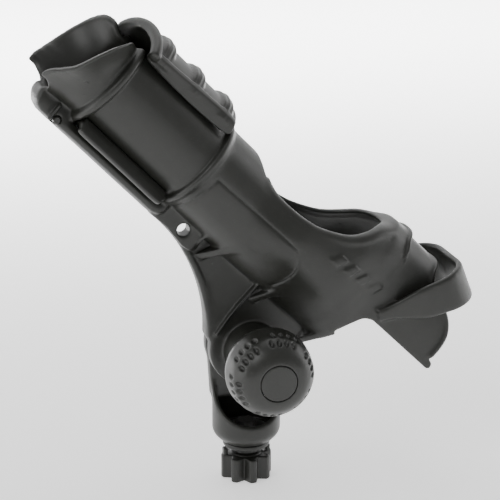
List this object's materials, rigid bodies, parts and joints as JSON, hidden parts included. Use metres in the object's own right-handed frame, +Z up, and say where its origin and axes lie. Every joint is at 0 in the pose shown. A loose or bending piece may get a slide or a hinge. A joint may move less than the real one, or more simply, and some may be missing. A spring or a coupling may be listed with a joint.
{
  "type": "rod holder",
  "caption": "Tilting fishing rod holder: slotted barrel with turning locking collar, open trough with rear hood and strap loop, hinge clamped by a domed hand knob, star-post base.",
  "frame": {"origin": "centre of the star post's bottom face", "axes": "+Z up the star post, the barrel's mouth towards -X and up, the hand knob on the -Y side"},
  "size_m": [0.2371, 0.102, 0.258],
  "materials": {
    "moulded_charcoal": "fine moulded texture",
    "collar_charcoal": "fine moulded texture",
    "knob_charcoal": "satin",
    "post_charcoal": "satin",
    "white_acetal": "satin",
    "stainless_steel": "brushed"
  },
  "bodies": {
    "base": {"base_yoke": "moulded_charcoal", "star_post": "post_charcoal", "post_washer": "stainless_steel", "post_screw": "stainless_steel", "ear_tooth_ring": "white_acetal", "pivot_bolt": "stainless_steel", "head_washer": "stainless_steel", "release_spring": "stainless_steel"},
    "tilting_cradle": {"cradle": "moulded_charcoal", "keel_pin": "moulded_charcoal", "pivot_bush": "white_acetal", "hub_tooth_ring": "white_acetal"},
    "collar": {"locking_collar": "collar_charcoal"},
    "knob_carrier": {"thrust_washer": "stainless_steel"},
    "hand_knob": {"knob_body": "knob_charcoal", "knob_nut": "stainless_steel", "knob_cap": "knob_charcoal"}
  },
  "joints": [
    {"name": "cradle_tilt", "type": "hinge", "parent": "base", "child": "tilting_cradle", "pos_m": [0, 0, 0.0783], "axis": [0, 1, 0], "range_deg": [-45, 45]},
    {"name": "collar_turn", "type": "hinge", "parent": "tilting_cradle", "child": "collar", "pos_m": [0.03769, 0, 0.1147], "axis": [0.6947, 0, -0.7193], "range_deg": [-95, 0]},
    {"name": "knob_travel", "type": "slide", "parent": "base", "child": "knob_carrier", "axis": [0, -1, 0], "range_m": [0, 0.0025]},
    {"name": "knob_turn", "type": "hinge", "parent": "knob_carrier", "child": "hand_knob", "pos_m": [0, 0, 0.0783], "axis": [0, -1, 0], "range_deg": [0, 720]}
  ],
  "couplings": [
    {"joint": "knob_travel", "follows": "knob_turn", "m_per_rad": 0.0001989}
  ]
}
